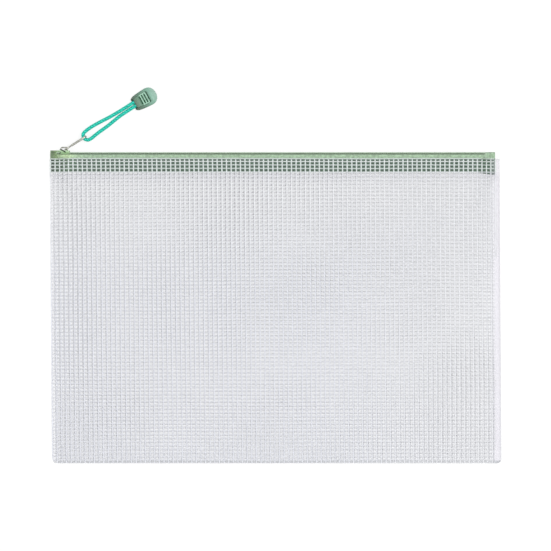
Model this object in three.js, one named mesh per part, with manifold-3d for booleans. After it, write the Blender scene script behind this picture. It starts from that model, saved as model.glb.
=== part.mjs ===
// A4 zip bag of clear mesh sheet, lying flat on a table with its zip shut.
// Millimetres. +X runs along the zip, +Y points out of the zipped edge, +Z up from the table.
// The origin is on the underside of the back sheet, half way between zip and bottom edge.
import * as THREE from 'three';
import { mergeVertices } from 'three/addons/utils/BufferGeometryUtils.js';
import Module from 'manifold-3d';

const wasm = await Module();
wasm.setup();

// The two sheets and the welds that join them
const HALF_WIDTH = 170;        // an A4 bag is 340 wide
const BOTTOM_Y = -117.5;
const MESH_TOP_Y = 112;        // upper edge of both sheets, where the zip tape comes out
const SHEET = 0.5;             // thickness of a sheet
const SIDE_WELD = 4.5;
const BOTTOM_WELD = 2.5;
const SEAM_LIFT = 1.4;         // what the two tapes add to the side welds at the top
const CORNER_R = 3.5;          // bottom corners
const CORE_RISE = 5;           // how far the front sheet stands off in the middle
const CREST_RISE = 4;          // what the zip lifts it by at the top
const SIDE_RAMP = 38;          // over this length the front sheet comes down to the side welds
const CREST_RAMP = 13;         // and over this one beside the zip
const BOTTOM_RAMP = 110;

// Zip: a nylon coil on two woven tapes, standing on edge between the sheets
const TAPE = 0.45;
const TAPE_INSIDE = 10;        // how deep the tapes reach into the bag
const TAPE_LOW_Y = MESH_TOP_Y - TAPE_INSIDE;
const TAPE_GAP = 0.3;          // between the front tape and the sheet over it
const BEND_R = 0.8;
const ZIP_LEFT_X = -HALF_WIDTH;
const ZIP_RIGHT_X = HALF_WIDTH - 3.7;
const FACE_Y = MESH_TOP_Y + 3.4;  // tape surface that carries the coils
const FRONT_TIP = 1.7;         // how far past that face the tapes reach where they lie flat
const BACK_TIP = 3.3;
const RIGHT_TIP = 2;           // the back tape at the other end
const TWIST = 2.4;             // length over which a tape turns from flat to standing
const ZIP_Z = 5;               // height of the line where the two coils meet
const PITCH = 1.5;
const COIL_THICK = 2;
const COIL_EDGE = 1.95;        // from the meeting line to the coil's outer side
const COIL_ROOT = 1.1;
const COIL_HEAD = -0.35;       // teeth reach past the meeting line
const COIL_LEFT_X = ZIP_LEFT_X + 5;
const COIL_RIGHT_X = ZIP_RIGHT_X - 6.1;
const SPREAD = 1.2;            // each side's shift where the slider parts the coils

// Slider, bail and pull
const SLIDER_X = ZIP_LEFT_X + 10.2;  // middle of the slider's length
const PLATE_TOP = FACE_Y + 3.1;
const PLATE_HALF = 3.75;
const BAIL_WIDTH = 2.2;
const BAIL_HIGH = 2.7;
const HINGE_X = SLIDER_X + 1.4;
const HINGE_Y = PLATE_TOP + 0.7;
const PULL_ANGLE = 32.5;       // degrees from +X towards +Y
const PULL_THIN = 0.9;
const PULL_THICK = 1.5;
const PULL_EYE_R = 16.5;       // from the hinge to the eye that holds the cord
const EYE_HOLE = 1.65;
const EYE_RIM = 0.7;

// Cord and the moulded end piece on it
const CORD_R = 1.4;
const CORD = [
  [-103.38, 156.83, 2.6], [-105.65, 155.57, 2.6], [-108.1, 154.22, 2.6], [-112.1, 151.7, 2.2], [-116.3, 149.4, 1.8],
  [-120.6, 146.9, 1.6], [-125.5, 143.9, 1.6], [-130.1, 141.3, 1.8], [-134.7, 138.8, 2.4], [-138.6, 136.5, 3.2],
  [-141.2, 134.65, 3.9], [-143.44, 132.77, 4.5], [-144.63, 131.47, 4.8], [-145.01, 129.75, 5], [-144.48, 128.07, 5],
  [-143.18, 126.88, 5], [-141.46, 126.5, 4.8], [-139.78, 127.03, 4.5], [-135.7, 130.3, 3.3], [-132.3, 133, 2.5],
  [-129, 135.4, 1.9], [-125.3, 138.2, 1.6], [-121.6, 141, 1.6], [-117.9, 143.8, 1.7], [-114.4, 146.3, 1.9],
  [-110.9, 148.8, 2.3], [-106.65, 151.59, 2.6], [-104.2, 152.95, 2.6], [-101.92, 154.21, 2.6],
];
const TAG_MOUTH = [-107.2, 153];
const TAG_ANGLE = 29;
const TAG_LOW = 0.3;           // underside above the table
const TAG_THICK = 4.6;
const TAG_LENGTH = 19.3;
const TAG_COVER_START = 1.7;   // the cords lie open in the base up to here
const TAG_COVER_LENGTH = 13.3;
const TAG_SPLIT = 2.5;         // height of the joint face between the two halves
const TAG_PLAY = 0.15;
const RIB_PITCH = 2;
const GROOVE = 0.9;

const group = new THREE.Group();

const materials = {
  sheet: [0xe4e7ee, 0.45, 0],
  tape: [0x9fc39b, 0.9, 0],
  coil: [0x8fb98c, 0.5, 0],
  paint: [0xa9cf9c, 0.4, 0.3],
  nickel: [0xc9cbc4, 0.28, 1],
  cord: [0x17c3a2, 0.8, 0],
  tag: [0x7fae98, 0.55, 0],
};

function add(name, geometry, kind) {
  const [color, roughness, metalness] = materials[kind];
  const mesh = new THREE.Mesh(geometry, new THREE.MeshStandardMaterial({ color, roughness, metalness }));
  mesh.name = name;
  group.add(mesh);
}

// 0 below 0, 1 above 1 and an even S between
function smooth(t) {
  const k = Math.min(1, Math.max(0, t));
  return k * k * (3 - 2 * k);
}

const mix = (a, b, k) => a + (b - a) * k;

function fromTriangles(points, faces) {
  const geometry = new THREE.BufferGeometry();
  geometry.setAttribute('position', new THREE.Float32BufferAttribute(points.flat(), 3));
  geometry.setIndex(faces.flat());
  return geometry;
}

// Closed skin through rings of equal length, with flat caps; ends are triangulated in two given axes
function loft(rings, u, v) {
  const n = rings[0].length;
  const points = rings.flat();
  const faces = [];
  for (let r = 0; r + 1 < rings.length; r++) {
    for (let i = 0; i < n; i++) {
      const a = r * n + i;
      const b = r * n + (i + 1) % n;
      faces.push([a, b, b + n], [a, b + n, a + n]);
    }
  }
  const cap = ring => THREE.ShapeUtils.triangulateShape(ring.map(p => new THREE.Vector2(p[u], p[v])), []);
  const last = (rings.length - 1) * n;
  const area = THREE.ShapeUtils.area(rings[0].map(p => new THREE.Vector2(p[u], p[v])));
  const turn = area > 0;
  for (const [a, b, c] of cap(rings[0])) faces.push(turn ? [a, c, b] : [a, b, c]);
  for (const [a, b, c] of cap(rings[rings.length - 1])) {
    faces.push(turn ? [a + last, b + last, c + last] : [a + last, c + last, b + last]);
  }
  return outward(fromTriangles(points, faces));
}

function volume(geometry) {
  const p = geometry.attributes.position;
  const index = geometry.index.array;
  const [a, b, c] = [new THREE.Vector3(), new THREE.Vector3(), new THREE.Vector3()];
  let sum = 0;
  for (let i = 0; i < index.length; i += 3) {
    a.fromBufferAttribute(p, index[i]);
    b.fromBufferAttribute(p, index[i + 1]);
    c.fromBufferAttribute(p, index[i + 2]);
    sum += a.dot(b.cross(c));
  }
  return sum / 6;
}

function outward(geometry) {
  if (volume(geometry) < 0) {
    const index = geometry.index.array;
    for (let i = 0; i < index.length; i += 3) [index[i], index[i + 1]] = [index[i + 1], index[i]];
  }
  return geometry;
}

function solid(geometry) {
  const g = geometry.clone();
  g.deleteAttribute('normal');
  g.deleteAttribute('uv');
  const merged = outward(mergeVertices(g, 1e-5));
  const mesh = new wasm.Mesh({
    numProp: 3,
    vertProperties: new Float32Array(merged.attributes.position.array),
    triVerts: new Uint32Array(merged.index.array),
  });
  return new wasm.Manifold(mesh);
}

function fromSolid(manifold) {
  const mesh = manifold.getMesh();
  const geometry = new THREE.BufferGeometry();
  const points = [];
  for (let i = 0; i < mesh.vertProperties.length; i += mesh.numProp) {
    points.push(mesh.vertProperties[i], mesh.vertProperties[i + 1], mesh.vertProperties[i + 2]);
  }
  geometry.setAttribute('position', new THREE.Float32BufferAttribute(points, 3));
  geometry.setIndex([...mesh.triVerts]);
  return geometry;
}

const join = (...parts) => parts.map(solid).reduce((a, b) => a.add(b));

// Every vertex of a geometry moved by a rule that keeps its handedness
function mapped(geometry, rule) {
  const p = geometry.attributes.position;
  for (let i = 0; i < p.count; i++) p.setXYZ(i, ...rule(p.getX(i), p.getY(i), p.getZ(i)));
  return geometry;
}

function outline(points) {
  return new THREE.Shape(points.map(([a, b]) => new THREE.Vector2(a, b)));
}

function prism(shape, depth, edge = 0, steps = 1) {
  return new THREE.ExtrudeGeometry(shape, {
    depth: depth - 2 * edge, bevelEnabled: edge > 0, bevelThickness: edge, bevelSize: edge,
    bevelOffset: -edge, bevelSegments: steps, curveSegments: 8,
  });
}

// A shape drawn in x and z, made solid between two heights in y
function slabY(shape, low, high, edge = 0) {
  return mapped(prism(shape, high - low, edge, 2), (a, b, c) => [a, high - (c + edge), b]);
}

// Sheets. The bottom corners are round, so the width is worked out for each row.
function halfWidthAt(y) {
  const d = Math.min(CORNER_R, y - BOTTOM_Y);
  return HALF_WIDTH - CORNER_R + Math.sqrt(CORNER_R ** 2 - (CORNER_R - d) ** 2);
}

function sideRise(x, y) {
  const ramp = mix(SIDE_RAMP, CREST_RAMP, smooth((y - MESH_TOP_Y + 52) / 42));
  return smooth((HALF_WIDTH - SIDE_WELD - Math.abs(x)) / ramp);
}

const tapeLift = y => SEAM_LIFT * smooth((y - TAPE_LOW_Y + 8) / 7);

function rise(y) {
  const core = CORE_RISE * smooth((y - BOTTOM_Y - BOTTOM_WELD) / BOTTOM_RAMP);
  return core + CREST_RISE * Math.exp((y - MESH_TOP_Y) / 12) * smooth((y - MESH_TOP_Y + 132) / 60);
}

// Underside of the front sheet: flat on the back sheet in the welds, lifted by the zip
function underZ(x, y) {
  return SHEET + mix(tapeLift(y), rise(y), sideRise(x, y));
}

function rowsY() {
  const high = MESH_TOP_Y - BOTTOM_Y;
  const corner = [0, 0.1, 0.34, 0.7, 1].map(k => BOTTOM_Y + k * CORNER_R);
  const middle = [0.045, 0.1, 0.17, 0.25, 0.35, 0.46, 0.58, 0.7, 0.8].map(k => BOTTOM_Y + k * high);
  const top = [32, 22, 16].map(d => MESH_TOP_Y - d);
  return [...corner, ...middle, ...top, TAPE_LOW_Y, TAPE_LOW_Y + TAPE_INSIDE / 2, MESH_TOP_Y];
}

function columnsX() {
  const ramp = [0, 2, 4.5, 7, 10, 13, 19.5, 28.5, 38.5].map(d => HALF_WIDTH - SIDE_WELD - d);
  const half = [...ramp, 0.56 * HALF_WIDTH, 0.3 * HALF_WIDTH];
  return [-1, ...half.map(x => -x / HALF_WIDTH), 0, ...half.map(x => x / HALF_WIDTH).reverse(), 1];
}

function backPanel() {
  const rows = rowsY().slice(0, 5);
  const left = rows.map(y => [-halfWidthAt(y), y]);
  const right = rows.map(y => [halfWidthAt(y), y]).reverse();
  const ring = [...left, [-HALF_WIDTH, MESH_TOP_Y], [HALF_WIDTH, MESH_TOP_Y], ...right];
  return prism(outline(ring), SHEET);
}

function frontPanel() {
  const rows = rowsY();
  const columns = columnsX();
  const points = [];
  for (const top of [0, SHEET]) {
    for (const y of rows) {
      for (const c of columns) {
        const x = c * halfWidthAt(y);
        points.push([x, y, underZ(x, y) + top]);
      }
    }
  }
  const w = columns.length;
  const layer = w * rows.length;
  const faces = [];
  const quad = (a, b, c, d) => faces.push([a, b, c], [a, c, d]);
  for (let j = 0; j + 1 < rows.length; j++) {
    for (let i = 0; i + 1 < w; i++) {
      const a = j * w + i;
      quad(a, a + w, a + w + 1, a + 1);
      quad(a + layer, a + layer + 1, a + layer + w + 1, a + layer + w);
    }
  }
  const edge = (a, b) => quad(a, b, b + layer, a + layer);
  for (let i = 0; i + 1 < w; i++) {
    edge(i, i + 1);
    edge(layer - i - 1, layer - i - 2);
  }
  for (let j = 0; j + 1 < rows.length; j++) {
    edge((j + 1) * w, j * w);
    edge(j * w + w - 1, (j + 1) * w + w - 1);
  }
  return outward(fromTriangles(points, faces));
}

// Zip tapes. At the slider the two halves part; at both ends they fold flat into the side welds.
const spread = x => SPREAD * smooth((SLIDER_X + 1.6 - x) / 5);
const standing = x => Math.min(smooth((x - COIL_LEFT_X + 0.2) / TWIST + 1), smooth((COIL_RIGHT_X + 0.5 - x) / TWIST + 1));

function tapeStations() {
  const twist = [0, 0.25, 0.5, 0.75, 1].map(k => k * TWIST);
  const left = [...twist.map(d => COIL_LEFT_X - 0.2 - TWIST + d), ...[1.8, 3, 4.5, 6.8, 9.5, 12.5].map(d => COIL_LEFT_X + d)];
  const right = [COIL_RIGHT_X - 7, COIL_RIGHT_X - 3, ...twist.map(d => COIL_RIGHT_X + 0.5 + d)];
  return [ZIP_LEFT_X, ...left, ...right, ZIP_RIGHT_X];
}

const tapeRowsY = () => [0, 0.15, 0.6, 1].map(k => MESH_TOP_Y - k * TAPE_INSIDE);

// Half section seen along x, as y and the height over the table of the outer face
function standingPath(x, flatZ, side) {
  const bendZ = SHEET + BEND_R;
  const path = [[FACE_Y, ZIP_Z - COIL_ROOT - spread(x)]];
  for (let k = 0; k <= 4; k++) {
    const a = k * Math.PI / 8;
    path.push([FACE_Y - BEND_R + BEND_R * Math.cos(a), bendZ - BEND_R * Math.sin(a)]);
  }
  path.push([FACE_Y - 2, SHEET]);
  const lifted = side > 0 ? path.map(([y, z]) => [y, 2 * ZIP_Z - z]) : path;
  const topZ = lifted[6][1];
  lifted.push([FACE_Y - 2.3, mix(topZ, flatZ(x, MESH_TOP_Y), 0.35)]);
  lifted.push([FACE_Y - 2.8, mix(topZ, flatZ(x, MESH_TOP_Y), 0.75)]);
  for (const y of tapeRowsY()) lifted.push([y, flatZ(x, y)]);
  return lifted;
}

function flatPath(x, flatZ, tip) {
  const count = 9;
  const path = [];
  for (let k = 0; k < count; k++) {
    path.push([mix(tip, MESH_TOP_Y, k / count), flatZ(x, MESH_TOP_Y)]);
  }
  for (const y of tapeRowsY()) path.push([y, flatZ(x, y)]);
  return path;
}

// The point a tape's thickness inside corner i of a path, square to both of its neighbours
function inset(path, i, side) {
  const normal = (a, b) => {
    const length = Math.hypot(b[0] - a[0], b[1] - a[1]);
    return [side * (a[1] - b[1]) / length, side * (b[0] - a[0]) / length];
  };
  const last = path.length - 1;
  const before = normal(path[Math.max(0, i - 1)], path[Math.max(1, i)]);
  const after = normal(path[Math.min(last - 1, i)], path[Math.min(last, i + 1)]);
  const k = TAPE / Math.max(0.5, 1 + before[0] * after[0] + before[1] * after[1]);
  return [path[i][0] + k * (before[0] + after[0]), path[i][1] + k * (before[1] + after[1])];
}

function tape(side, flatZ, leftTip, rightTip) {
  const rings = tapeStations().map(x => {
    const up = standingPath(x, flatZ, side);
    const flat = flatPath(x, flatZ, x < 0 ? leftTip : rightTip);
    const outer = up.map(([y, z], i) => [mix(flat[i][0], y, standing(x)), mix(flat[i][1], z, standing(x))]);
    const inner = outer.map((_, i) => inset(outer, i, side));
    return [...outer, ...inner.reverse()].map(([y, z]) => [x, y, z]);
  });
  return loft(rings, 1, 2);
}

// One row of the coil as a comb whose heads are wider than their roots, so the rows interlock
function coil(side) {
  const [rootHalf, headHalf] = [0.25, 0.33];
  const shift = side > 0 ? 0 : PITCH / 2;
  const points = [];
  const put = (x, u) => points.push([x, ZIP_Z + side * (u + spread(x))]);
  for (let x = COIL_LEFT_X; x < SLIDER_X + 2; x += PITCH) put(x, COIL_EDGE);
  put(COIL_RIGHT_X, COIL_EDGE);
  put(COIL_RIGHT_X, COIL_ROOT);
  const count = Math.floor((COIL_RIGHT_X - COIL_LEFT_X - 1.5) / PITCH);
  for (let k = count; k >= 0; k--) {
    const x = COIL_LEFT_X + 0.5 + shift + k * PITCH;
    put(x + rootHalf, COIL_ROOT);
    put(x + headHalf, COIL_HEAD);
    put(x - headHalf, COIL_HEAD);
    put(x - rootHalf, COIL_ROOT);
  }
  put(COIL_LEFT_X, COIL_ROOT);
  return slabY(outline(points), FACE_Y, FACE_Y + COIL_THICK);
}

// Slider: two plates joined by a wedge that parts the coils, with rails on the coil side
function plateShape() {
  const half = [
    [4.9, 0], [4.9, 1.9], [4.72, 2.35], [4.3, 2.6], [1.6, 2.7], [0.2, 3], [-1.2, 3.42], [-2.4, PLATE_HALF],
    [-3.5, PLATE_HALF], [-4.2, 3.5], [-4.65, 3], [-4.75, 2.3], [-4.5, 1.5], [-4.1, 0.8], [-3.95, 0],
  ];
  const mirror = half.slice(1, -1).map(([x, u]) => [x, -u]).reverse();
  return outline([...half, ...mirror].map(([x, u]) => [SLIDER_X + x, ZIP_Z + u]));
}

function rail(side) {
  const ring = [
    [4.6, 2.5], [4.3, 2.52], [1.6, 2.6], [0.2, 2.9], [-1.2, 3.3], [-1.9, 3.45],
    [-1.9, 3.02], [-1.2, 2.87], [0.2, 2.48], [1.6, 2.16], [4.3, 2.07], [4.6, 2.07],
  ];
  const points = ring.map(([x, u]) => [SLIDER_X + x, ZIP_Z + side * u]);
  return slabY(outline(points), FACE_Y + 0.25, FACE_Y + 2.5);
}

function sliderBody() {
  const top = slabY(plateShape(), FACE_Y + 2.2, PLATE_TOP, 0.2);
  const bottom = slabY(plateShape(), FACE_Y - 1.45, FACE_Y - 0.65, 0.2);
  const wedge = [[-1.2, 0], [-1.9, 0.3], [-3.3, 0.75], [-3.75, 0.6]];
  const ring = [...wedge, ...wedge.slice(1).map(([x, u]) => [x, -u]).reverse()];
  const neck = slabY(outline(ring.map(([x, u]) => [SLIDER_X + x, ZIP_Z + u])), FACE_Y - 1, FACE_Y + 2.5);
  return fromSolid(join(top, bottom, neck, rail(1), rail(-1)));
}

// Bail: a bent strap over the slider, under which the pull's bar turns
function bail() {
  const shape = new THREE.Shape();
  shape.moveTo(-2.6, 0);
  shape.lineTo(-1.7, 0);
  shape.quadraticCurveTo(-1.65, 1.55, -0.6, 1.85);
  shape.lineTo(1.7, 1.85);
  shape.quadraticCurveTo(2.3, 1.8, 2.3, 1.2);
  shape.lineTo(2.3, 0);
  shape.lineTo(3.4, 0);
  shape.lineTo(3.4, 1.4);
  shape.quadraticCurveTo(3.35, BAIL_HIGH, 2.1, BAIL_HIGH);
  shape.lineTo(-0.7, BAIL_HIGH);
  shape.quadraticCurveTo(-2.5, BAIL_HIGH - 0.2, -2.6, 0);
  return mapped(prism(shape, BAIL_WIDTH, 0.15), (a, b, c) => [
    SLIDER_X + a, PLATE_TOP + b, ZIP_Z + c + 0.15 - BAIL_WIDTH / 2,
  ]);
}

// Pull: a thin loop round the bail that thickens into a flat bar with an eye for the cord
function pull() {
  const turn = THREE.MathUtils.degToRad(PULL_ANGLE);
  const [c, s] = [Math.cos(turn), Math.sin(turn)];
  const place = (geometry, thick, edge) => mapped(geometry, (r, w, h) => {
    const off = h + edge - thick / 2;
    return [HINGE_X + r * c + off * s, HINGE_Y + r * s - off * c, ZIP_Z + w];
  });
  const mirrored = half => [...half, ...half.map(([r, w]) => [r, -w]).reverse()];
  const ring = outline(mirrored([[-0.45, 1.7], [0.2, 2.25], [1, 2.3], [3.2, 2.3], [4.4, 1.8], [5.3, 1.2], [6.6, 1.2]]));
  ring.holes.push(outline([[0.45, -1.4], [2.6, -1.4], [3, -0.9], [3, 0.9], [2.6, 1.4], [0.45, 1.4]]));
  const bar = new THREE.Shape();
  bar.moveTo(5.6, -1.2);
  bar.lineTo(6.6, -1.35);
  bar.quadraticCurveTo(10, -1.6, PULL_EYE_R - 2.4, -2);
  bar.absarc(PULL_EYE_R, 0, EYE_HOLE + EYE_RIM, -2.2, 2.2, false);
  bar.lineTo(PULL_EYE_R - 2.4, 2);
  bar.quadraticCurveTo(10, 1.6, 6.6, 1.35);
  bar.lineTo(5.6, 1.2);
  const eye = new THREE.Path();
  eye.absarc(PULL_EYE_R, 0, EYE_HOLE, 0, 2 * Math.PI, true);
  bar.holes.push(eye);
  const thin = place(prism(ring, PULL_THIN, 0.12), PULL_THIN, 0.12);
  const thick = place(prism(bar, PULL_THICK, 0.2, 2), PULL_THICK, 0.2);
  return fromSolid(join(thin, thick));
}

function cord() {
  const circle = new THREE.Shape();
  circle.absarc(0, 0, CORD_R, 0, 2 * Math.PI, false);
  const path = new THREE.CatmullRomCurve3(CORD.map(p => new THREE.Vector3(...p)), false, 'centripetal');
  const tube = new THREE.ExtrudeGeometry(circle, { extrudePath: path, steps: 56, curveSegments: 4, bevelEnabled: false });
  return fromSolid(solid(tube));
}

// End piece: one pebble-like body cut into a base and an inset cover with ribs, hollow for the cord ends
function tagPlace(geometry) {
  const turn = THREE.MathUtils.degToRad(TAG_ANGLE);
  const [c, s] = [Math.cos(turn), Math.sin(turn)];
  return mapped(geometry, (a, b, h) => [TAG_MOUTH[0] + a * c - b * s, TAG_MOUTH[1] + a * s + b * c, TAG_LOW + h]);
}

function tagBody() {
  const stations = [
    [0, 4.4, 3.9], [0.5, 4.85, 4.2], [2, 5.7, 4.4], [4.5, 6.2, 4.5], [7.5, 6.5, TAG_THICK], [10.5, 6.75, TAG_THICK],
    [13.2, 6.85, TAG_THICK], [15.2, 6.55, 4.5], [16.8, 5.8, 4.2], [18, 4.6, 3.6], [18.9, 2.9, 2.9],
    [TAG_LENGTH, 1.3, 2.2],
  ];
  const rings = stations.map(([a, half, high]) => {
    const ring = [];
    const middle = Math.min(high / 2, 2.1) + 0.1;
    for (let k = 0; k < 24; k++) {
      const t = k * Math.PI / 12;
      const round = v => Math.sign(v) * Math.abs(v) ** 0.62;
      const h = round(Math.sin(t));
      ring.push([a, half * round(Math.cos(t)), middle + h * (h > 0 ? high - middle : middle)]);
    }
    return ring;
  });
  return loft(rings, 1, 2);
}

function coverShape(play, start) {
  const end = TAG_COVER_LENGTH - play;
  const half = [[start, 3.7 - play], [3, 3.9 - play], [7, 4.35 - play], [end - 0.8, 4.6 - play], [end, 4.2 - play]];
  return outline([...half, ...half.map(([a, b]) => [a, -b]).reverse()]);
}

function box(a0, a1, b0, b1, h0, h1) {
  const geometry = new THREE.BoxGeometry(a1 - a0, b1 - b0, h1 - h0);
  return geometry.translate((a0 + a1) / 2, (b0 + b1) / 2, (h0 + h1) / 2);
}

function pocket() {
  const half = [[-1, 3.2], [1, 3.2], [2.2, 3.08], [5.6, 3.08]];
  const shape = outline([...half, ...half.map(([a, b]) => [a, -b]).reverse()]);
  return solid(prism(shape, 3)).translate([0, 0, TAG_SPLIT - TAG_LOW - 1.4]);
}

function tag() {
  const body = solid(tagBody());
  const lid = (play, start) => solid(prism(coverShape(play, start), 6)).translate([0, 0, TAG_SPLIT + play - TAG_LOW]);
  const base = body.subtract(lid(0, -1)).subtract(pocket());
  let cover = body.intersect(lid(TAG_PLAY, TAG_COVER_START)).subtract(pocket());
  for (let k = 0; k < 4; k++) {
    const a = 6.75 + RIB_PITCH * k;
    const half = k < 3 ? 3.5 + 0.12 * k : 6;
    cover = cover.subtract(solid(box(a - GROOVE / 2, a + (k < 3 ? GROOVE / 2 : 2), -half, half, 3.5, 6)));
  }
  return [base, cover].map(part => tagPlace(fromSolid(part)));
}

add('front_panel', frontPanel(), 'sheet');
add('back_panel', backPanel(), 'sheet');
add('front_zip_tape', tape(1, (x, y) => underZ(x, y) - TAPE_GAP, FACE_Y + FRONT_TIP, FACE_Y + FRONT_TIP), 'tape');
add('back_zip_tape', tape(-1, () => SHEET, FACE_Y + BACK_TIP, FACE_Y + RIGHT_TIP), 'tape');
add('front_coil', coil(1), 'coil');
add('back_coil', coil(-1), 'coil');
add('slider_body', sliderBody(), 'paint');
add('slider_bail', bail(), 'nickel');
add('pull', pull(), 'nickel');
add('pull_cord', cord(), 'cord');
const [tagBase, tagCover] = tag();
add('tag_base', tagBase, 'tag');
add('tag_cover', tagCover, 'tag');

export default group;
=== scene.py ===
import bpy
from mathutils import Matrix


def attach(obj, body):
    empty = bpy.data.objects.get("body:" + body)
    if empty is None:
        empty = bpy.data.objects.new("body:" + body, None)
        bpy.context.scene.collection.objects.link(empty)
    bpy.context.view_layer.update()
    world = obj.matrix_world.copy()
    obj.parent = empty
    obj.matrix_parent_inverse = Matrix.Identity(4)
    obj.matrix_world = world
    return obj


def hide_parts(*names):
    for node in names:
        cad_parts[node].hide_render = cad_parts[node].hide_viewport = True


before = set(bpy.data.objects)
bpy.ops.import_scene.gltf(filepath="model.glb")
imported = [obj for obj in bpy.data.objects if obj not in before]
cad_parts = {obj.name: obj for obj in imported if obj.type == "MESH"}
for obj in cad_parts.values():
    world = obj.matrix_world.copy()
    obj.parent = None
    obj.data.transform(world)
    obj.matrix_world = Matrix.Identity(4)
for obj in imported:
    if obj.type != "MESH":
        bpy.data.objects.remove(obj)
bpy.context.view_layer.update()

import bmesh
import bpy
import math
import random
from mathutils import Vector

# Camera and studio. The bag lies on a white table and is seen from straight above through a long
# lens, with the zipped edge at the top of the picture. One broad lamp hangs almost overhead, a
# wider and weaker one stands to the left, and the room around is plain white.
scene = bpy.context.scene
scene.view_settings.view_transform = "Standard"
LENS, SENSOR = 200, 36
# The picture is 415.4 mm wide, measured 4 mm above the frame's zero
PICTURE_WIDTH, PICTURE_MIDDLE, PICTURE_LEVEL = 0.4154, 0.0243, 0.004


def placed(name, data):
    thing = bpy.data.objects.new(name, data)
    scene.collection.objects.link(thing)
    return thing


shot = bpy.data.cameras.new("shot")
shot.lens, shot.sensor_width, shot.clip_end = LENS, SENSOR, 20
scene.camera = placed("camera", shot)
scene.camera.location = (0, PICTURE_MIDDLE, PICTURE_WIDTH * LENS / SENSOR + PICTURE_LEVEL)


def soft_lamp(name, place, size, watts):
    light = bpy.data.lights.new(name, "AREA")
    light.shape, light.size, light.energy = "SQUARE", size, watts
    lamp = placed(name, light)
    lamp.location = place
    lamp.rotation_euler = (-Vector(place)).to_track_quat("-Z", "Y").to_euler()


soft_lamp("key_lamp", (0.6, 0.15, 1.88), 0.9, 19)
soft_lamp("fill_lamp", (-1.1, -0.4, 1.6), 1.2, 9)


def fill(tree, box, inputs):
    for key, value in inputs.items():
        if isinstance(value, bpy.types.Node):
            value = value.outputs[0]
        if isinstance(value, bpy.types.NodeSocket):
            tree.links.new(value, box.inputs[key])
        else:
            box.inputs[key].default_value = value


def node(tree, kind, inputs=None, **settings):
    made = tree.nodes.new(kind)
    for key, value in settings.items():
        setattr(made, key, value)
    fill(tree, made, inputs or {})
    return made


def maths(tree, kind, *values):
    return node(tree, "ShaderNodeMath", dict(enumerate(values)), operation=kind)


def ranged(tree, value, low, high, to_low=0.0, to_high=1.0):
    return node(tree, "ShaderNodeMapRange", {
        "Value": value, "From Min": low, "From Max": high, "To Min": to_low, "To Max": to_high})


def seen_by_eye(tree):
    rays = node(tree, "ShaderNodeLightPath").outputs
    straight = maths(tree, "MAXIMUM", rays["Is Camera Ray"], rays["Is Glossy Ray"])
    return maths(tree, "MAXIMUM", straight, rays["Is Transmission Ray"])


# The room looks full white but lights the bag with half of that
world = bpy.data.worlds.new("studio")
scene.world = world
world.use_nodes = True
room = world.node_tree
fill(room, room.nodes["Background"], {
    "Color": (1, 1, 1, 1), "Strength": ranged(room, seen_by_eye(room), 0, 1, 0.5, 1.0)})


def new_finish(name):
    material = bpy.data.materials.new(name)
    material.use_nodes = True
    return material, material.node_tree


def finish(tree, inputs):
    fill(tree, tree.nodes["Principled BSDF"], inputs)


# The table glows where the eye sees it, so that it stays white beside its soft shadows
GLOW, GLOW_SHARE = 1.06, 0.74
table_top, top = new_finish("white_table")
finish(top, {"Base Color": (0.95, 0.95, 0.95, 1), "Roughness": 0.9, "Specular IOR Level": 0.0})
glow = node(top, "ShaderNodeEmission", {"Strength": GLOW})
lit_top = node(top, "ShaderNodeMixShader", {
    "Fac": maths(top, "MULTIPLY", seen_by_eye(top), GLOW_SHARE),
    1: top.nodes["Principled BSDF"], 2: glow})
fill(top, top.nodes["Material Output"], {"Surface": lit_top})


def smooth_faces(mesh):
    mesh.polygons.foreach_set("use_smooth", [True] * len(mesh.polygons))


def mesh_piece(name, points, faces, material=None, smooth=True):
    mesh = bpy.data.meshes.new(name)
    mesh.from_pydata([tuple(c * 0.001 for c in p) for p in points], [], faces)
    mesh.update()
    mesh.validate()
    if smooth:
        smooth_faces(mesh)
    piece = placed(name, mesh)
    if material:
        mesh.materials.append(material)
    return piece


# The table top lies a tenth of a millimetre below the frame's zero
TABLE_HALF, TABLE_LEVEL = 6000, -0.1
corners = [(TABLE_HALF * x, TABLE_HALF * y, TABLE_LEVEL)
           for x, y in ((-1, -1), (1, -1), (1, 1), (-1, 1))]
table = mesh_piece("table", corners, [(0, 1, 2, 3)], table_top, smooth=False)

# Sheets. Front and back are soft clear plastic with a white yarn grid laid inside, cut to A4 bag
# size and welded together along both sides and the bottom. They are made here in millimetres.
HALF_WIDTH, BOTTOM, MESH_TOP = 170.0, -117.5, 112.5
CORNER, SHEET = 3.5, 0.5
SIDE_WELD, FOOT_WELD = 4.5, 2.5
TAPE_LOW, TAPE_LIFT = 102.6, 1.4
PILLOW, CREST, CREST_FADE = 5, 4, 12
SLOPE_LOW, SLOPE_HIGH = 38, 13


def ease(t):
    k = min(1.0, max(0.0, t))
    return k * k * (3 - 2 * k)


def rise(at, start, run):
    return ease((at - start) / run)


def mix(a, b, k):
    return a + (b - a) * k


# Half the bag's width, which is rounded off at the two corners of its foot
def half_width(y):
    d = min(CORNER, max(0.0, y - BOTTOM))
    return HALF_WIDTH - CORNER + math.sqrt(max(0.0, CORNER ** 2 - (CORNER - d) ** 2))


def back_under(x, y):
    return 0.0


# The front sheet lies flat at its welds, bulges between them and rises to a crest at the zip
def front_under(x, y):
    slope = mix(SLOPE_LOW, SLOPE_HIGH, rise(y, MESH_TOP - 52, 42))
    inward = ease((HALF_WIDTH - SIDE_WELD - abs(x)) / slope)
    tapes = TAPE_LIFT * rise(y, TAPE_LOW - 8, 7)
    core = PILLOW * rise(y, BOTTOM + FOOT_WELD, 110)
    crest = CREST * math.exp((y - MESH_TOP) / CREST_FADE) * rise(y, MESH_TOP - 132, 60)
    return SHEET + mix(tapes, core + crest, inward)


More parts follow.
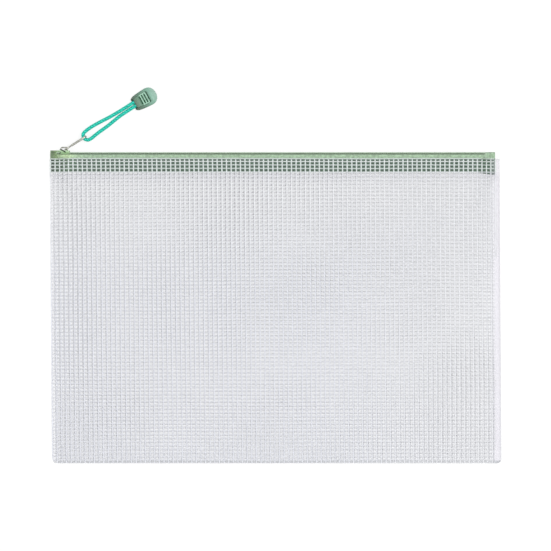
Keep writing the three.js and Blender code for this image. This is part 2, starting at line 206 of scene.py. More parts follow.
# The bag lies a little askew: its foot is shifted to the right of its zip
LEAN_TOP, LEAN_TOP_SHARE = -0.55, 0.002
LEAN_FOOT, LEAN_FOOT_SHARE = 1.6, 0.001


def lean(x, y):
    t = (MESH_TOP - y) / (MESH_TOP - BOTTOM)
    return x + LEAN_TOP - LEAN_TOP_SHARE * x + t * (LEAN_FOOT - LEAN_FOOT_SHARE * x)


COLUMNS, ROWS = 150, 96


def sheet_piece(name, under, skins, material):
    across = [-1 + 2 * i / COLUMNS for i in range(COLUMNS + 1)]
    rows = [BOTTOM + r for r in (0, 0.2, 0.6, 1.2, 2.0, 2.8, CORNER)]
    rows += [mix(BOTTOM + CORNER, MESH_TOP, (j + 1) / ROWS) for j in range(ROWS)]
    points, faces = [], []
    for skin in skins:
        for y in rows:
            for c in across:
                x = c * half_width(y)
                points.append((lean(x, y), y, under(x, y) + skin))
    w, layer = len(across), len(across) * len(rows)
    for j in range(len(rows) - 1):
        for i in range(w - 1):
            a = j * w + i
            faces.append((a, a + w, a + w + 1, a + 1))
            faces.append((a + layer, a + 1 + layer, a + w + 1 + layer, a + w + layer))
    rim = list(range(w)) + [j * w + w - 1 for j in range(1, len(rows))]
    rim += [layer - 1 - i for i in range(1, w)]
    rim += [(len(rows) - 1 - j) * w for j in range(1, len(rows) - 1)]
    for a, b in zip(rim, rim[1:] + rim[:1]):
        faces.append((a, b, b + layer, a + layer))
    return mesh_piece(name, points, faces, material)


def place_on(tree):
    return node(tree, "ShaderNodeTexCoord").outputs["Object"]


def apart(tree, vector):
    return node(tree, "ShaderNodeSeparateXYZ", {0: vector}).outputs


def noise(tree, place, scale, detail=2):
    return node(tree, "ShaderNodeTexNoise", {
        "Vector": place, "Scale": scale, "Detail": detail}).outputs["Fac"]


def blended(tree, share, first, second, kind="MIX"):
    return node(tree, "ShaderNodeMixRGB", {
        "Fac": share, "Color1": first, "Color2": second}, blend_type=kind)


def bump(tree, height, strength, depth=0.0001):
    return node(tree, "ShaderNodeBump", {
        "Height": height, "Strength": strength, "Distance": depth})


# The film is fogged at its right weld and its foot, and clearer where it is tight over the tapes;
# at the foot its fog is grey, partly weld fog and partly painted shade along that edge
WELD_FOG = 0.11
film, clear = new_finish("clear_film")
film_place = place_on(clear)
film_axes = apart(clear, film_place)
side_weld = ranged(clear, film_axes["X"], 0.161, 0.1664)
foot_weld_shade = ranged(clear, film_axes["Y"], -0.1148, -0.116)
over_tape = ranged(clear, film_axes["Y"], 0.0996, 0.1021, 1.0, 0.4)
haze = ranged(clear, noise(clear, film_place, 60, 3), 0, 1, 0.05, 0.1)
taut = maths(clear, "MULTIPLY", haze, over_tape)
side_fog = maths(clear, "MULTIPLY_ADD", side_weld, WELD_FOG, taut)
fog = maths(clear, "MULTIPLY_ADD", foot_weld_shade, WELD_FOG, side_fog)
milk = blended(clear, side_weld, (0.83, 0.85, 0.95, 1), (0.79, 0.77, 0.86, 1))
finish(clear, {
    "Base Color": blended(clear, foot_weld_shade, milk, (0.54, 0.56, 0.61, 1)), "Roughness": 0.32,
    "Alpha": fog, "Normal": bump(clear, noise(clear, film_place, 900), 0.25)})

back_film = sheet_piece("back_film", back_under, (0.06, 0.34), film)
front_film = sheet_piece("front_film", front_under, (0.12, 0.4), film)

# Yarn grid. White flat polyester yarns run along and across each sheet, 3.5 mm and 2.75 mm
# apart, heat set where they cross and sealed into the film, so they stand slightly proud of it.


def ramped(tree, share, stops):
    box = node(tree, "ShaderNodeValToRGB", {"Fac": share})
    marks = box.color_ramp.elements
    for mark, (position, colour) in ((marks[0], stops[0]), (marks[1], stops[-1])):
        mark.position, mark.color = position, (*colour, 1)
    for position, colour in stops[1:-1]:
        marks.new(position).color = (*colour, 1)
    return box


# The yarns are painted lighter to the right and towards the zip as painted light, and darker
# close to the tape as painted shade, with a painted green tinge where they lie over it
def yarn_finish(name, down_cover, across_cover):
    material, tree = new_finish(name)
    place = place_on(tree)
    axes = apart(tree, place)
    fuzz = noise(tree, place, 700)
    tone = blended(tree, fuzz, (0.85, 0.868, 0.95, 1), (0.955, 0.962, 1.0, 1))
    zipward = ranged(tree, axes["Y"], 0.02, 0.085, 0, 0.8)
    rightward = ranged(tree, axes["X"], 0.04, 0.14, 0, 0.7)
    brightest = maths(tree, "MAXIMUM", zipward, rightward)
    painted_light = blended(tree, brightest, tone, (0.975, 0.98, 1, 1))
    painted_shade = ramped(tree, ranged(tree, axes["Y"], 0.0925, 0.1026), [
        (0.0, (1, 1, 1)), (0.4, (0.96, 0.96, 0.97)), (0.7, (0.89, 0.89, 0.91)),
        (0.88, (0.85, 0.86, 0.88)), (1.0, (0.9, 0.965, 0.92))])
    kind = node(tree, "ShaderNodeAttribute", attribute_name="weft_yarn").outputs["Fac"]
    finish(tree, {
        "Base Color": blended(tree, 1.0, painted_light, painted_shade, "MULTIPLY"), "Roughness": 0.55,
        "Alpha": ranged(tree, kind, 0, 1, down_cover, across_cover),
        "Normal": bump(tree, fuzz, 0.4)})
    return material


front_white = yarn_finish("front_yarn", 0.7, 0.42)
back_white = yarn_finish("back_yarn", 0.25, 0.18)


def tree_of(name, inputs):
    tree = bpy.data.node_groups.new(name, "GeometryNodeTree")
    tree.interface.new_socket(name="Geometry", in_out="INPUT", socket_type="NodeSocketGeometry")
    for label, kind, value in inputs:
        socket = tree.interface.new_socket(name=label, in_out="INPUT", socket_type=kind)
        if value is not None:
            socket.default_value = value
    tree.interface.new_socket(name="Geometry", in_out="OUTPUT", socket_type="NodeSocketGeometry")
    return tree, tree.nodes.new("NodeGroupInput").outputs, tree.nodes.new("NodeGroupOutput")


def baked(carrier, tree, name, values):
    maker = carrier.modifiers.new("maker", "NODES")
    maker.node_group = tree
    for item in tree.interface.items_tree:
        if item.in_out == "INPUT" and item.name in values:
            maker[item.identifier] = values[item.name]
    graph = bpy.context.evaluated_depsgraph_get()
    mesh = bpy.data.meshes.new_from_object(carrier.evaluated_get(graph))
    mesh.name = name
    carrier.modifiers.remove(maker)
    return placed(name, mesh)


PITCH_DOWN, PITCH_ACROSS, YARN_WIDTH, YARN_HEIGHT = 0.003504, 0.002749, 0.00105, 0.0003
YARNS_DOWN, YARNS_ACROSS = 97, 84
YARN_START, YARN_LAST_Y = 0.05, 0.1123


def yarn_tree():
    tree, given, made = tree_of("yarn_grid", [
        ("Pitch Along", "NodeSocketFloat", PITCH_DOWN),
        ("Pitch Across", "NodeSocketFloat", PITCH_ACROSS),
        ("Yarn Width", "NodeSocketFloat", YARN_WIDTH),
        ("Yarn Height", "NodeSocketFloat", YARN_HEIGHT),
        ("Phase", "NodeSocketVector", None), ("Turn", "NodeSocketFloat", 0.0),
        ("Drift", "NodeSocketFloat", 0.0003), ("Right End", "NodeSocketFloat", 0.1663),
        ("Seed", "NodeSocketFloat", 0.0), ("Yarn", "NodeSocketMaterial", None)])

    # One straight yarn is copied along the grid, high over the sheet
    def run(count, start, axis, pitch, low, high, samples, kind):
        step = node(tree, "ShaderNodeCombineXYZ", {axis: given[pitch]})
        line = node(tree, "GeometryNodeMeshLine", {
            "Count": count, "Start Location": start, "Offset": step}, mode="OFFSET")
        strand = node(tree, "GeometryNodeCurvePrimitiveLine", {
            "Start": (*low, YARN_START), "End": (*high, YARN_START)})
        fine = node(tree, "GeometryNodeResampleCurve", {"Curve": strand, "Count": samples})
        label = node(tree, "GeometryNodeStoreNamedAttribute", {
            "Geometry": fine, "Name": "weft_yarn", "Value": kind})
        return node(tree, "GeometryNodeInstanceOnPoints", {"Points": line, "Instance": label})

    down = run(YARNS_DOWN, (-0.16965, 0, 0), "X", "Pitch Along",
               (0, -0.1173), (0, 0.1124), 75, 0.0)
    along = run(YARNS_ACROSS, (0, -0.11492, 0), "Y", "Pitch Across",
                (-0.1696, 0), (0.1696, 0), 90, 1.0)
    both = node(tree, "GeometryNodeJoinGeometry", {0: down})
    fill(tree, both, {0: along})
    real = node(tree, "GeometryNodeRealizeInstances", {0: both})
    angle = node(tree, "ShaderNodeCombineXYZ", {"Z": given["Turn"]})
    turn = node(tree, "GeometryNodeTransform", {
        "Geometry": real, "Translation": given["Phase"], "Rotation": angle})

    # Lean with the sheet over its reach, drift slowly, and close up a little towards the zip
    spot = node(tree, "GeometryNodeInputPosition")
    axes = apart(tree, spot)
    x, y = axes["X"], axes["Y"]
    reach, close_at, close_rate, closing, natural = 0.2295, 0.1105, 330, -0.0004, 2.71828
    foot = maths(tree, "MULTIPLY_ADD", y, -1 / reach, MESH_TOP / (MESH_TOP - BOTTOM))
    shift = maths(tree, "MULTIPLY_ADD", x, -LEAN_FOOT_SHARE, LEAN_FOOT * 0.001)
    leaned = maths(tree, "MULTIPLY_ADD", x, 1 - LEAN_TOP_SHARE, LEAN_TOP * 0.001)
    leaned = maths(tree, "ADD", leaned, maths(tree, "MULTIPLY", foot, shift))
    wave = node(tree, "ShaderNodeTexNoise", {
        "Vector": spot, "W": given["Seed"], "Scale": 13, "Detail": 1}, noise_dimensions="4D")
    drift = [maths(tree, "MULTIPLY", maths(tree, "SUBTRACT", side, 0.5), given["Drift"])
             for side in apart(tree, wave.outputs["Color"])[:2]]
    rise = maths(tree, "MULTIPLY", maths(tree, "SUBTRACT", y, close_at), close_rate)
    near = maths(tree, "POWER", natural, rise)
    closed = maths(tree, "MULTIPLY_ADD", near, closing, maths(tree, "ADD", y, drift[1]))
    warped = node(tree, "ShaderNodeCombineXYZ", {
        "X": maths(tree, "ADD", leaned, drift[0]),
        "Y": maths(tree, "MINIMUM", closed, YARN_LAST_Y), "Z": YARN_START})
    bend = node(tree, "GeometryNodeSetPosition", {"Geometry": turn, "Position": warped})

    # Drop every point onto the film, and cut off what misses it
    drop = node(tree, "GeometryNodeRaycast", {
        "Target Geometry": given["Geometry"], "Ray Direction": (0, 0, -1)}).outputs
    missed = node(tree, "FunctionNodeBooleanMath", {0: drop["Is Hit"]}, operation="NOT")
    past = node(tree, "FunctionNodeCompare", {0: x, 1: given["Right End"]})
    off = node(tree, "FunctionNodeBooleanMath", {0: missed, 1: past}, operation="OR")
    store = node(tree, "GeometryNodeStoreNamedAttribute", {
        "Geometry": bend, "Name": "off_sheet", "Value": off}, data_type="BOOLEAN")
    lay = node(tree, "GeometryNodeSetPosition", {
        "Geometry": store, "Position": drop["Hit Position"]})
    mark = node(tree, "GeometryNodeInputNamedAttribute", {"Name": "off_sheet"}, data_type="BOOLEAN")
    keep = node(tree, "GeometryNodeDeleteGeometry", {
        "Geometry": lay, "Selection": mark}, domain="POINT")

    # Sweep a flat six-sided section along each yarn
    upright = node(tree, "GeometryNodeSetCurveNormal", {"Curve": keep}, mode="Z_UP")
    ring = node(tree, "GeometryNodeCurvePrimitiveCircle", {"Resolution": 6, "Radius": 0.5})
    size = node(tree, "ShaderNodeCombineXYZ", {
        "X": given["Yarn Width"], "Y": given["Yarn Height"], "Z": 1})
    flat = node(tree, "GeometryNodeTransform", {"Geometry": ring, "Scale": size})
    sweep = node(tree, "GeometryNodeCurveToMesh", {
        "Curve": upright, "Profile Curve": flat, "Fill Caps": True})
    colour = node(tree, "GeometryNodeSetMaterial", {"Geometry": sweep, "Material": given["Yarn"]})
    fill(tree, made, {0: colour})
    return tree


# The back sheet's grid shows through the front one a little wider, turned and less even
grid_tree = yarn_tree()
front_yarns = baked(front_film, grid_tree, "front_yarns", {
    "Drift": 0.0005, "Seed": 3.0, "Yarn": front_white})
back_yarns = baked(back_film, grid_tree, "back_yarns", {
    "Pitch Along": PITCH_DOWN * 1.006, "Pitch Across": PITCH_ACROSS * 1.012,
    "Phase": (-0.0012, -0.0011, 0), "Turn": 0.003, "Drift": 0.0022, "Seed": 8.0,
    "Yarn": back_white})
for film_piece, yarns, cad in (
        (front_film, front_yarns, "front_panel"), (back_film, back_yarns, "back_panel")):
    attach(film_piece, "bag")
    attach(yarns, "bag")
    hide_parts(cad)

# Zip tapes. Two woven polyester tapes, dyed sage green, are sewn inside the top edges of the
# sheets. Each comes out over the edge and stands up to carry its half of the coil.
ZIP_LEFT, ZIP_RIGHT = -170.0, 165.7
FACE, ZIP_Z = MESH_TOP + 2.9, 5.0
SLIDER_X = ZIP_LEFT + 10.2
COIL_LEFT, COIL_RIGHT = ZIP_LEFT + 5, ZIP_RIGHT - 5.5
TAPE, FOLD, FOLD_STEPS = 0.42, 0.8, 8
PARTING = 1.2
FINE, COARSE = 0.4, 2


# The tapes part a little behind the slider, and stand up only where they carry the coil
def spread(x):
    return PARTING * ease((SLIDER_X + 1.6 - x) / 5)


def standing(x):
    return min(ease((x - COIL_LEFT - 1.4) / 0.8 + 1), ease((COIL_RIGHT - 2.8 - x) / 1.2 + 1))


# The tape's section from the coil down: upright face, fold, and the flat part inside the sheet
def tape_path(x, side):
    flat_z = (lambda y: front_under(x, y) - 0.3) if side > 0 else (lambda y: SHEET)
    up = [(FACE, ZIP_Z - 1.1 - spread(x))]
    for k in range(FOLD_STEPS + 1):
        a = k * math.pi / (2 * FOLD_STEPS)
        up.append((FACE - FOLD + FOLD * math.cos(a), SHEET + FOLD - FOLD * math.sin(a)))
    up.append((FACE - 2, SHEET))
    if side > 0:
        up = [(y, 2 * ZIP_Z - z) for y, z in up]
    top = up[-1][1]
    foot = flat_z(MESH_TOP)
    up += [(FACE - 2.1, mix(top, foot, 0.35)), (FACE - 2.5, mix(top, foot, 0.75))]
    tip = FACE + (1.7 if side > 0 else 3.3 if x < 0 else 2.0)
    flat = [(mix(tip, MESH_TOP, k / len(up)), foot) for k in range(len(up))]
    low = TAPE_LOW - 2.2 * rise(x, 148, 16)
    inside = [(y, flat_z(y)) for y in (MESH_TOP, 110.5, 108, 106, 104, low)]
    s = standing(x)
    return [(mix(f[0], u[0], s), mix(f[1], u[1], s)) for f, u in zip(flat + inside, up + inside)]


def tape_piece(name, side, material):
    stations = [ZIP_LEFT + FINE * i for i in range(50)]
    stations += [ZIP_LEFT + 20 + COARSE * i for i in range(150)]
    stations += [ZIP_RIGHT - FINE * i for i in range(38, -1, -1)]
    points, faces, runs = [], [], []
    for x in stations:
        outer = tape_path(x, side)
        n = len(outer)
        inner, run = [], [0.0]
        for i in range(n):
            a, b = outer[max(0, i - 1)], outer[min(n - 1, i + 1)]
            dy, dz = b[0] - a[0], b[1] - a[1]
            size = math.hypot(dy, dz)
            y, z = outer[i]
            inner.append((y - side * TAPE * dz / size, z + side * TAPE * dy / size))
            if i:
                run.append(run[-1] + math.dist(outer[i - 1], outer[i]))
        points += [(x, y, z) for y, z in outer + inner[::-1]]
        runs.append(run + run[::-1])
    ring = 2 * n
    for r in range(len(stations) - 1):
        for i in range(ring):
            a, b = r * ring + i, r * ring + (i + 1) % ring
            quad = (a, b, b + ring, a + ring)
            faces.append(quad if side > 0 else quad[::-1])
    for r in (0, len(stations) - 1):
        for i in range(n - 1):
            a = r * ring
            quad = (a + i, a + ring - 1 - i, a + ring - 2 - i, a + i + 1)
            faces.append(quad if (side > 0) == (r == 0) else quad[::-1])
    piece = mesh_piece(name, points, faces, material)
    uv = piece.data.uv_layers.new(name="cloth")
    for loop in piece.data.loops:
        r, i = divmod(loop.vertex_index, ring)
        uv.data[loop.index].uv = (stations[r] / 10, runs[r][i] / 10)
    return piece


def waves(tree, place, direction, scale, distortion=0.0):
    return node(tree, "ShaderNodeTexWave", {
        "Vector": place, "Scale": scale, "Distortion": distortion},
        bands_direction=direction).outputs["Fac"]


def scaled(tree, colour, share):
    return node(tree, "ShaderNodeVectorMath", {0: colour, "Scale": share}, operation="SCALE")


# The cloth is mottled. At the zip's shut end it is painted darker as painted shade under its folded
# end and lighter as a painted highlight where it passes over the slider, and it is painted dark
# inside the sheets as painted shade
tape_green, cloth = new_finish("woven_tape")
cloth_uv = node(cloth, "ShaderNodeUVMap", uv_map="cloth")
weave = maths(cloth, "MULTIPLY", waves(cloth, cloth_uv, "Y", 4.2, 0.6),
              waves(cloth, cloth_uv, "DIAGONAL", 5.5, 0.8))
dyed = blended(cloth, weave, (0.31, 0.45, 0.3, 1), (0.5, 0.66, 0.49, 1))
tape_place = place_on(cloth)
tape_axes = apart(cloth, tape_place)
end_light_and_shade = ramped(cloth, ranged(cloth, tape_axes["X"], -0.17, -0.145), [
    (0.0, (0.6, 0.6, 0.52)), (0.06, (0.45, 0.44, 0.38)), (0.11, (0.62, 0.62, 0.5)),
    (0.17, (0.95, 0.95, 0.74)), (0.24, (1.15, 1.13, 0.9)), (0.34, (1.0, 1.0, 0.85)),
    (0.5, (1.4, 1.33, 1.12)), (0.75, (1.25, 1.22, 1.15)), (1.0, (1, 1, 1))])
toned = node(cloth, "ShaderNodeVectorMath", {0: dyed, 1: end_light_and_shade}, operation="MULTIPLY")
mottle = ranged(cloth, noise(cloth, tape_place, 520), 0.3, 0.7, 0.74, 1.26)
# Painted shade: the cloth is darkened where it lies inside the sheets
inside = ranged(cloth, tape_axes["Y"], 0.1125, 0.112)
finish(cloth, {
    "Base Color": blended(
        cloth, inside, scaled(cloth, toned, mottle), (0.12, 0.2, 0.15, 1), "MULTIPLY"),
    "Roughness": 0.85, "Sheen Weight": 0.3, "Normal": bump(cloth, weave, 0.7, 0.00015)})

for side, name in ((1, "front"), (-1, "back")):
    tape = tape_piece(name + "_tape_cloth", side, tape_green)
    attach(tape, "bag")
    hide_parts(name + "_zip_tape")

# Coils. Each half of the zip is one nylon filament wound in flat turns that swell at the head, and
# the turns of the two halves lock into each other. A sewing thread over each row ties it down.
PITCH = 1.5
GROOVE_Y = 0.11595
coil_green, nylon = new_finish("nylon_coil")
coil_place = place_on(nylon)
dye = blended(nylon, noise(nylon, coil_place, 480), (0.34, 0.48, 0.33, 1), (0.66, 0.82, 0.63, 1))
# The turns are painted darker along the groove between the two rows, as painted shade
from_groove = maths(nylon, "SUBTRACT", apart(nylon, coil_place)["Y"], GROOVE_Y)
groove_shade = ranged(nylon, maths(nylon, "ABSOLUTE", from_groove), 0.00025, 0.00045, 0.42, 1.12)
finish(nylon, {"Base Color": scaled(nylon, dye, groove_shade), "Roughness": 0.34, "Coat Weight": 0.2})


def thread_finish(name, colour, rough, plies, depth):
    material, tree = new_finish(name)
    ply = waves(tree, place_on(tree), "DIAGONAL", plies)
    finish(tree, {"Base Color": colour, "Roughness": rough, "Normal": bump(tree, ply, 0.5, depth)})
    return material


thread_green = thread_finish("sewing_thread", (0.5, 0.62, 0.48, 1), 0.8, 900, 0.00008)


def swept(points, radius, sides, closed_ends=False):
    verts, faces = [], []
    n = len(points)
    for i, p in enumerate(points):
        a, b = Vector(points[max(0, i - 1)]), Vector(points[min(n - 1, i + 1)])
        along = (b - a).normalized()
        level = Vector((0, 0, 1)) if abs(along.z) < 0.9 else Vector((0, 1, 0))
        one = along.cross(level).normalized()
        two = along.cross(one)
        r = radius[i] if isinstance(radius, list) else radius
        for k in range(sides):
            t = 2 * math.pi * k / sides
            verts.append(tuple(Vector(p) + r * (math.cos(t) * one + math.sin(t) * two)))
    for i in range(n - 1):
        for k in range(sides):
            a, b = i * sides + k, i * sides + (k + 1) % sides
            faces.append((a, b, b + sides, a + sides))
    if closed_ends:
        faces.append(tuple(range(sides - 1, -1, -1)))
        faces.append(tuple((n - 1) * sides + k for k in range(sides)))
    return verts, faces


def row_tree():
    tree, given, made = tree_of("repeat_along_zip", [
        ("Copies", "NodeSocketInt", 10), ("Step", "NodeSocketFloat", 0.0015),
        ("Join", "NodeSocketFloat", 0.00001), ("Finish", "NodeSocketMaterial", None)])
    step = node(tree, "ShaderNodeCombineXYZ", {"X": given["Step"]})
    line = node(tree, "GeometryNodeMeshLine", {
        "Count": given["Copies"], "Offset": step}, mode="OFFSET")
    copies = node(tree, "GeometryNodeInstanceOnPoints", {
        "Points": line, "Instance": given["Geometry"]})
    real = node(tree, "GeometryNodeRealizeInstances", {0: copies})
    joined = node(tree, "GeometryNodeMergeByDistance", {
        "Geometry": real, "Distance": given["Join"]})
    colour = node(tree, "GeometryNodeSetMaterial", {
        "Geometry": joined, "Material": given["Finish"]})
    fill(tree, made, {0: colour})
    return tree


repeat_tree = row_tree()
COIL_STEPS, COIL_SIDES = 14, 7
COIL_OUT, COIL_WIDE, COIL_UP, COIL_HIGH = 0.82, 0.83, 0.75, 0.6
WIRE, HEAD_SWELL = 0.33, 0.05
THREAD, THREAD_SIDES = 0.14, 5


def coil_turn(side, start):
    path_points, radii = [], []
    for k in range(COIL_STEPS + 1):
        t = 2 * math.pi * k / COIL_STEPS
        across = COIL_OUT + COIL_WIDE * math.cos(t)
        up = COIL_UP + COIL_HIGH * math.sin(t)
        path_points.append((start + PITCH * k / COIL_STEPS, FACE + up, ZIP_Z + side * across))
        radii.append(WIRE + HEAD_SWELL * max(0.0, -math.cos(t)) ** 2)
    return swept(path_points, radii, COIL_SIDES)


def repeated(name, points, faces, copies, material, step=PITCH):
    first = mesh_piece("first_" + name, points, faces)
    piece = baked(first, repeat_tree, name, {
        "Copies": copies, "Step": step * 0.001, "Finish": material})
    bpy.data.objects.remove(first)
    smooth_faces(piece.data)
    return piece


def part_at_slider(piece, side):
    for v in piece.data.vertices:
        v.co.z += side * spread(v.co.x * 1000) * 0.001


turns = int((COIL_RIGHT - COIL_LEFT - PITCH) / PITCH)
for side, name in ((1, "front"), (-1, "back")):
    start = COIL_LEFT + 0.1 + (0 if side > 0 else PITCH / 2)
    row = repeated(name + "_coil_wire", *coil_turn(side, start), turns, coil_green)
    loop = [(start + x, FACE + up, ZIP_Z + side * out) for x, up, out in (
        (0.15, 1.45, 1.2), (0.45, 1.7, 1.25), (1.05, 1.7, 1.35), (1.4, 1.4, 1.3))]
    tie = repeated(name + "_coil_thread", *swept(loop, THREAD, THREAD_SIDES, True),
                   turns, thread_green)
    part_at_slider(row, side)
    part_at_slider(tie, side)
    for piece, slot in ((row, "zip_coil"), (tie, "zip_tape")):
        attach(piece, "bag")
    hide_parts(name + "_coil")

# Seam. White thread in even lock stitches holds each sheet to the tape behind it, in one row
# close under the sheet's edge. Each stitch lies on the film and dips into it at both ends.
thread_white = thread_finish("white_thread", (0.85, 0.86, 0.86, 1), 0.7, 700, 0.0001)
STITCH, STITCHES = 2.9, 114
STITCH_RADIUS, STITCH_SIDES = 0.17, 6
SEAM_LEFT, SEAM_Y = -165.5, 110.1
stitch = [(x, SEAM_Y, z) for x, z in (
    (0, -0.15), (0.25, 0.1), (1.2, 0.14), (2.15, 0.1), (2.4, -0.15))]
for name, under, lift in (("front_seam", front_under, 0.42), ("back_seam", back_under, 0.36)):
    seam = repeated(name, *swept(stitch, STITCH_RADIUS, STITCH_SIDES, True),
                    STITCHES, thread_white, STITCH)
    for v in seam.data.vertices:
        x = v.co.x * 1000 + SEAM_LEFT
        v.co.z += (under(x, v.co.y * 1000) + lift) * 0.001
        v.co.x = x * 0.001
    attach(seam, "bag")

# Slider. A zinc casting painted sage green, with a thin clear coat and the paint rubbed thin at
# its edges; its lighter patches, laid by noise, stand partly for that wear and partly for painted
# highlights. Its shape is the frame's own casting, merged into one skin for even shading. A small
# leaf runs from the bail's shut foot over the plate's edge and locks the coil; it is coloured near
# black as painted shade for the gap under the bail's foot.
MERGE, CREASE = 0.000002, math.radians(32)


def dress(cad, name, body, material):
    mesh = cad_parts[cad].data.copy()
    mesh.name = name
    whole = bmesh.new()
    whole.from_mesh(mesh)
    bmesh.ops.remove_doubles(whole, verts=whole.verts, dist=MERGE)
    whole.to_mesh(mesh)
    whole.free()
    smooth_faces(mesh)
    mesh.set_sharp_from_angle(angle=CREASE)
    mesh.materials.clear()
    mesh.materials.append(material)
    piece = placed(name, mesh)
    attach(piece, body)
    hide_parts(cad)
    return piece


def worn_finish(name, colour, rubbed_highlight, rough, grain, dents, metal=0.0, coat=0.0):
    material, tree = new_finish(name)
    rubbed = noise(tree, place_on(tree), grain, 6)
    finish(tree, {
        "Base Color": blended(tree, ranged(tree, rubbed, 0.35, 0.75), colour, rubbed_highlight),
        "Roughness": ranged(tree, rubbed, 0, 1, rough - 0.08, rough + 0.1),
        "Metallic": metal, "Coat Weight": coat, "Normal": bump(tree, rubbed, dents)})
    return material


slider_paint = worn_finish(
    "slider_paint", (0.36, 0.55, 0.3, 1), (0.47, 0.66, 0.4, 1), 0.3, 420, 0.15, coat=0.4)
dress("slider_body", "slider_casting", "slider", slider_paint)

# The leaf is coloured near black as painted shade for the gap under the bail's foot
leaf_painted_shade = worn_finish(
    "shade_black_leaf", (0.008, 0.022, 0.008, 1), (0.02, 0.045, 0.02, 1), 0.55, 600, 0.1)
leaf_path = [
    (-162.2, 118.75, 5.4), (-162.15, 118.95, 7.4), (-161.6, 118.95, 8.45), (-160.6, 118.7, 8.7),
    (-159.4, 118.1, 8.45), (-158.5, 117.4, 8.25), (-158.0, 116.8, 8.0)]
leaf_radii = [0.22, 0.32, 0.4, 0.44, 0.46, 0.42, 0.26]
LEAF_SIDES = 8
leaf = mesh_piece("lock_leaf", *swept(leaf_path, leaf_radii, LEAF_SIDES, True), leaf_painted_shade)
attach(leaf, "slider")

# Bail and pull. Both are pressed from thin nickel-plated steel: the bail is bent over the slider
# and its feet are crimped on, and the pull's loop turns under it.
nickel = worn_finish(
    "nickel_plate", (0.24, 0.24, 0.21, 1), (0.42, 0.42, 0.38, 1), 0.3, 260, 0.12, metal=1.0)
dress("slider_bail", "bail_strip", "slider", nickel)
dress("pull", "eyed_pull", "pull", nickel)

# Cord. A limp braid of eight turquoise polyester strands over a core, 2.8 mm thick, threaded
# through the pull's eye. Both its ends are held in the end piece, so it lies as a narrow loop.
CORD = [
    (-103.38, 156.83, 2.6), (-105.65, 155.57, 2.6), (-108.1, 154.22, 2.6), (-112.07, 151.64, 2.2),
    (-116.15, 149.14, 1.8), (-120.43, 146.6, 1.6), (-125.4, 143.73, 1.6), (-130.1, 141.3, 1.8),
    (-134.7, 138.8, 2.4), (-138.6, 136.5, 3.2), (-141.2, 134.65, 3.9), (-143.44, 132.77, 4.5),
    (-144.63, 131.47, 4.8), (-145.01, 129.75, 5), (-144.48, 128.07, 5), (-143.18, 126.88, 5),
    (-141.46, 126.5, 4.8), (-139.78, 127.03, 4.5), (-135.7, 130.3, 3.3), (-132.3, 133, 2.5),
    (-129, 135.4, 1.9), (-125.3, 138.2, 1.6), (-121.7, 141.17, 1.6), (-118.07, 144.1, 1.7),
    (-114.55, 146.56, 1.9), (-110.95, 148.87, 2.3), (-106.65, 151.59, 2.6), (-104.2, 152.95, 2.6),
    (-101.92, 154.21, 2.6)]
ROUTE_STEP = 0.3
SPANS = 24
LAY = 2 * math.pi / 8.6
STRAND_OUT, OVER_UNDER = 1.0, 0.09
STRAND_WIDE, STRAND_TALL, CORE = 0.62, 0.35, 0.82
STRAND_SIDES, CORE_SIDES = 7, 10


# A curve through all the points that never loops back on itself, cut into even steps
def smooth_route(points, step):
    pts = [Vector(p) for p in points]
    pts = [2 * pts[0] - pts[1]] + pts + [2 * pts[-1] - pts[-2]]
    dense = []
    for i in range(1, len(pts) - 2):
        p0, p1, p2, p3 = pts[i - 1:i + 3]
        t0, t1 = 0.0, (p1 - p0).length ** 0.5
        t2 = t1 + (p2 - p1).length ** 0.5
        t3 = t2 + (p3 - p2).length ** 0.5
        for k in range(SPANS):
            t = mix(t1, t2, k / SPANS)
            a1 = p0 * ((t1 - t) / (t1 - t0)) + p1 * ((t - t0) / (t1 - t0))
            a2 = p1 * ((t2 - t) / (t2 - t1)) + p2 * ((t - t1) / (t2 - t1))
            a3 = p2 * ((t3 - t) / (t3 - t2)) + p3 * ((t - t2) / (t3 - t2))
            b1 = a1 * ((t2 - t) / (t2 - t0)) + a2 * ((t - t0) / (t2 - t0))
            b2 = a2 * ((t3 - t) / (t3 - t1)) + a3 * ((t - t1) / (t3 - t1))
            dense.append(b1 * ((t2 - t) / (t2 - t1)) + b2 * ((t - t1) / (t2 - t1)))
    dense.append(pts[-2])
    even, left = [dense[0]], step
    for a, b in zip(dense, dense[1:]):
        gap = (b - a).length
        while gap >= left:
            a = a + (b - a) * (left / gap)
            even.append(a)
            gap = (b - a).length
            left = step
        left -= gap
    return even


route = smooth_route(CORD, ROUTE_STEP)
frames, side_way = [], Vector((0, 0, 1))
for i, p in enumerate(route):
    along = (route[min(i + 1, len(route) - 1)] - route[max(i - 1, 0)]).normalized()
    side_way = (side_way - along * side_way.dot(along)).normalized()
    frames.append((p, along, side_way, along.cross(side_way)))

braid_points, braid_faces, braid_tint = [], [], []
random.seed(7)


def add_strand(way, start, out, wide, tall, sides, tint):
    base = len(braid_points)
    for i, (p, along, one, two) in enumerate(frames):
        s = ROUTE_STEP * i
        angle = way * LAY * s + start
        outward = math.cos(angle) * one + math.sin(angle) * two
        around = along.cross(outward)
        middle = p + (out + way * OVER_UNDER * math.cos(4 * LAY * s)) * outward
        for k in range(sides):
            t = 2 * math.pi * k / sides
            at = middle + tall * math.cos(t) * outward + wide * math.sin(t) * around
            braid_points.append(tuple(at))
            braid_tint.append(tint)
    n = len(frames)
    for i in range(n - 1):
        for k in range(sides):
            a, b = base + i * sides + k, base + i * sides + (k + 1) % sides
            braid_faces.append((a, b, b + sides, a + sides))
    braid_faces.append(tuple(base + k for k in range(sides - 1, -1, -1)))
    braid_faces.append(tuple(base + (n - 1) * sides + k for k in range(sides)))


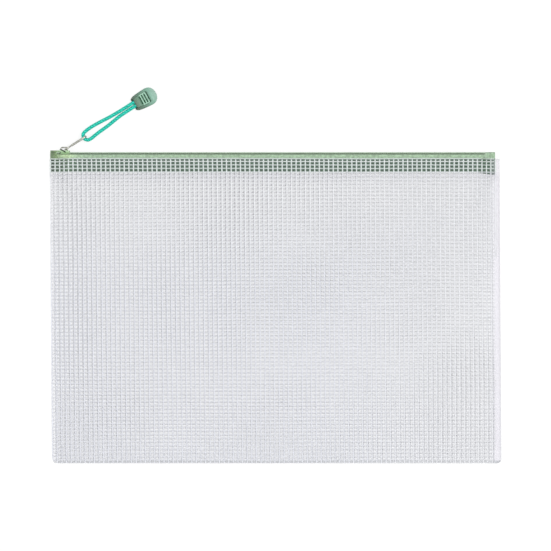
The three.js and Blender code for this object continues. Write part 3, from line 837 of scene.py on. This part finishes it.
# Four strands wind each way round the core, and pass over and under each other. Those winding one
# way are painted pale and those winding the other way dark, as painted light and shade on the one
# turquoise
for j in range(4):
    start = j * math.pi / 2
    for way, pale, uneven in ((1, 0.75, 0.25), (-1, 0.0, 0.2)):
        add_strand(way, start, STRAND_OUT, STRAND_WIDE, STRAND_TALL, STRAND_SIDES,
                   pale + uneven * random.random())
add_strand(0, 0.0, 0.0, CORE, CORE, CORE_SIDES, 0.0)

braid_green, polyester = new_finish("turquoise_braid")
fibre = noise(polyester, place_on(polyester), 900, 3)
strand_tint = node(polyester, "ShaderNodeAttribute", attribute_name="strand").outputs["Fac"]
fibre_tint = maths(polyester, "MULTIPLY", fibre, 0.45)
tint = maths(polyester, "MULTIPLY_ADD", strand_tint, 0.62, fibre_tint)
finish(polyester, {
    "Base Color": ramped(polyester, tint, [(0.2, (0.0, 0.4, 0.32)), (0.95, (0.07, 0.88, 0.67))]),
    "Roughness": 0.62, "Specular IOR Level": 0.25, "Normal": bump(polyester, fibre, 0.5)})

braid = mesh_piece("cord_braid", braid_points, braid_faces, braid_green)
tint_layer = braid.data.attributes.new("strand", "FLOAT", "POINT")
tint_layer.data.foreach_set("value", braid_tint)
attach(braid, "cord_end")
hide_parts("pull_cord")

# End piece. Two satin sage-green mouldings snap together over the cord's ends: a rounded base
# and an inset cover with cross ribs for grip. Their shapes are the frame's own, merged as the
# casting is.
TAG_WAY, TAG_START, TAG_SHADED = (0.8746, 0.4848, 0), -0.01959, 0.019


# The mouldings are painted dark at their mouth end and paler towards their free end as painted
# shade and highlight, and the cover is painted dark between its ribs as painted shade
def moulding(name, stops, rib_shade_below=None):
    material, tree = new_finish(name)
    place = place_on(tree)
    along = node(tree, "ShaderNodeVectorMath", {0: place, 1: TAG_WAY}, operation="DOT_PRODUCT")
    share = ranged(tree, along.outputs["Value"], TAG_START, TAG_START + TAG_SHADED)
    colour = ramped(tree, share, stops)
    if rib_shade_below:
        between_ribs_shade = ranged(tree, apart(tree, place)["Z"], rib_shade_below, rib_shade_below - 0.0003)
        colour = blended(tree, between_ribs_shade, colour, (0.035, 0.13, 0.07, 1))
    cloud = noise(tree, place, 420, 4)
    finish(tree, {
        "Base Color": scaled(tree, colour, ranged(tree, cloud, 0, 1, 0.82, 1.15)),
        "Roughness": 0.42, "Normal": bump(tree, cloud, 0.12)})
    return material


tag_green = moulding("satin_moulding", [
    (0.0, (0.07, 0.11, 0.075)), (0.35, (0.11, 0.21, 0.15)), (0.62, (0.17, 0.34, 0.25)),
    (0.8, (0.22, 0.43, 0.33)), (1.0, (0.36, 0.55, 0.46))])
end_base = dress("tag_base", "end_base", "cord_end", tag_green)
cover_green = moulding("satin_cover", [
    (0.08, (0.06, 0.12, 0.08)), (0.16, (0.11, 0.2, 0.14)), (0.32, (0.14, 0.28, 0.19)),
    (0.38, (0.33, 0.58, 0.43)), (0.7, (0.35, 0.6, 0.46))], rib_shade_below=0.0045)
end_cover = dress("tag_cover", "end_cover", "cord_end", cover_green)
